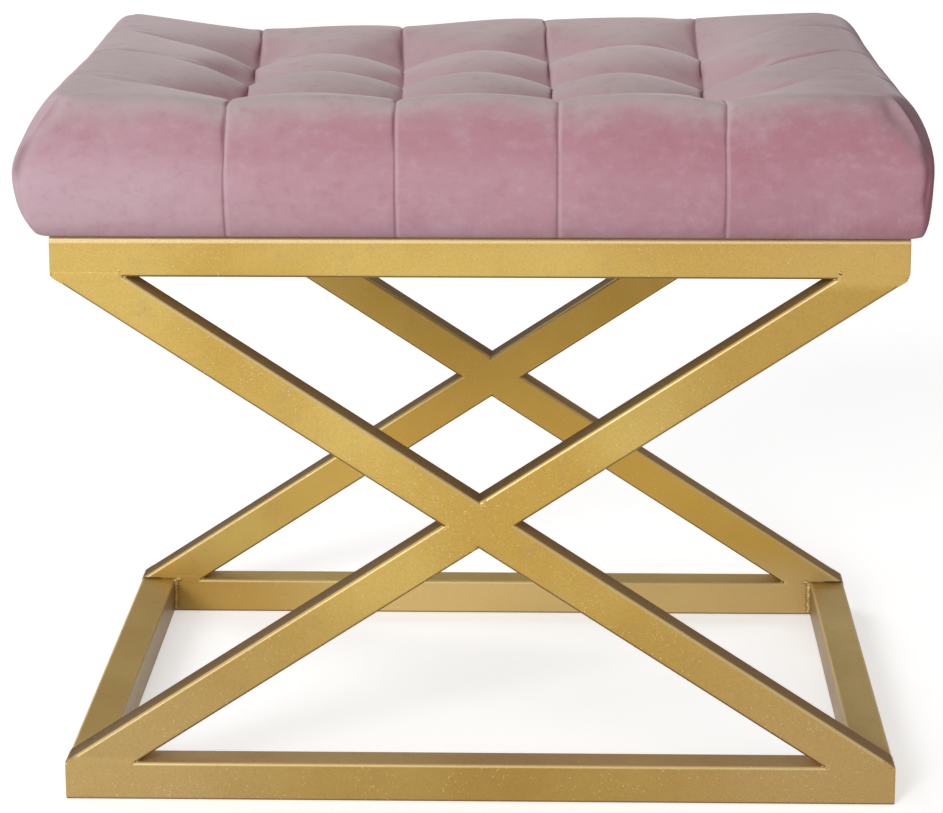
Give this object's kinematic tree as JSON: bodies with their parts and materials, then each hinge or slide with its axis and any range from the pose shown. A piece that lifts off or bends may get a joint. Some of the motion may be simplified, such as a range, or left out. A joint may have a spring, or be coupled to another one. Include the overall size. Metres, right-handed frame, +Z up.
{
  "type": "x frame stool",
  "caption": "Low stool on two welded X frames of gold square tube joined by side rails, with a boxed pink velvet cushion tufted in a grid.",
  "frame": {"origin": "on the floor, under the middle of the frame", "axes": "+X along the long side, to the right seen from the front; +Y from the front X frame to the rear one; +Z up"},
  "size_m": [0.561, 0.465, 0.45],
  "materials": {
    "gold_paint": "satin",
    "zinc": "satin",
    "velvet": "matte",
    "foam": "matte",
    "plywood": "matte",
    "lining": "matte",
    "twine": "matte"
  },
  "bodies": {
    "root": {"front_bottom_rail": "gold_paint", "front_bottom_left_end_plate": "gold_paint", "front_bottom_right_end_plate": "gold_paint", "front_top_rail": "gold_paint", "front_top_left_end_plate": "gold_paint", "front_top_right_end_plate": "gold_paint", "front_long_diagonal": "gold_paint", "front_upper_half_diagonal": "gold_paint", "front_lower_half_diagonal": "gold_paint", "rear_bottom_rail": "gold_paint", "rear_bottom_left_end_plate": "gold_paint", "rear_bottom_right_end_plate": "gold_paint", "rear_top_rail": "gold_paint", "rear_top_left_end_plate": "gold_paint", "rear_top_right_end_plate": "gold_paint", "rear_long_diagonal": "gold_paint", "rear_upper_half_diagonal": "gold_paint", "rear_lower_half_diagonal": "gold_paint", "left_bottom_side_rail": "gold_paint", "left_top_side_rail": "gold_paint", "right_bottom_side_rail": "gold_paint", "right_top_side_rail": "gold_paint", "front_left_corner_plate": "gold_paint", "front_left_seat_bolt": "zinc", "front_left_seat_washer": "zinc", "front_left_tee_nut": "zinc", "front_right_corner_plate": "gold_paint", "front_right_seat_bolt": "zinc", "front_right_seat_washer": "zinc", "front_right_tee_nut": "zinc", "rear_left_corner_plate": "gold_paint", "rear_left_seat_bolt": "zinc", "rear_left_seat_washer": "zinc", "rear_left_tee_nut": "zinc", "rear_right_corner_plate": "gold_paint", "rear_right_seat_bolt": "zinc", "rear_right_seat_washer": "zinc", "rear_right_tee_nut": "zinc", "dust_cover": "lining", "seat_board": "plywood", "foam_pad": "foam", "velvet_cover": "velvet", "tuft_tie_1": "twine", "tuft_tie_2": "twine", "tuft_tie_3": "twine", "tuft_tie_4": "twine", "tuft_tie_5": "twine", "tuft_tie_6": "twine", "tuft_tie_7": "twine", "tuft_tie_8": "twine", "tuft_tie_9": "twine", "tuft_tie_10": "twine", "tuft_tie_11": "twine", "tuft_tie_12": "twine"}
  },
  "joints": []
}
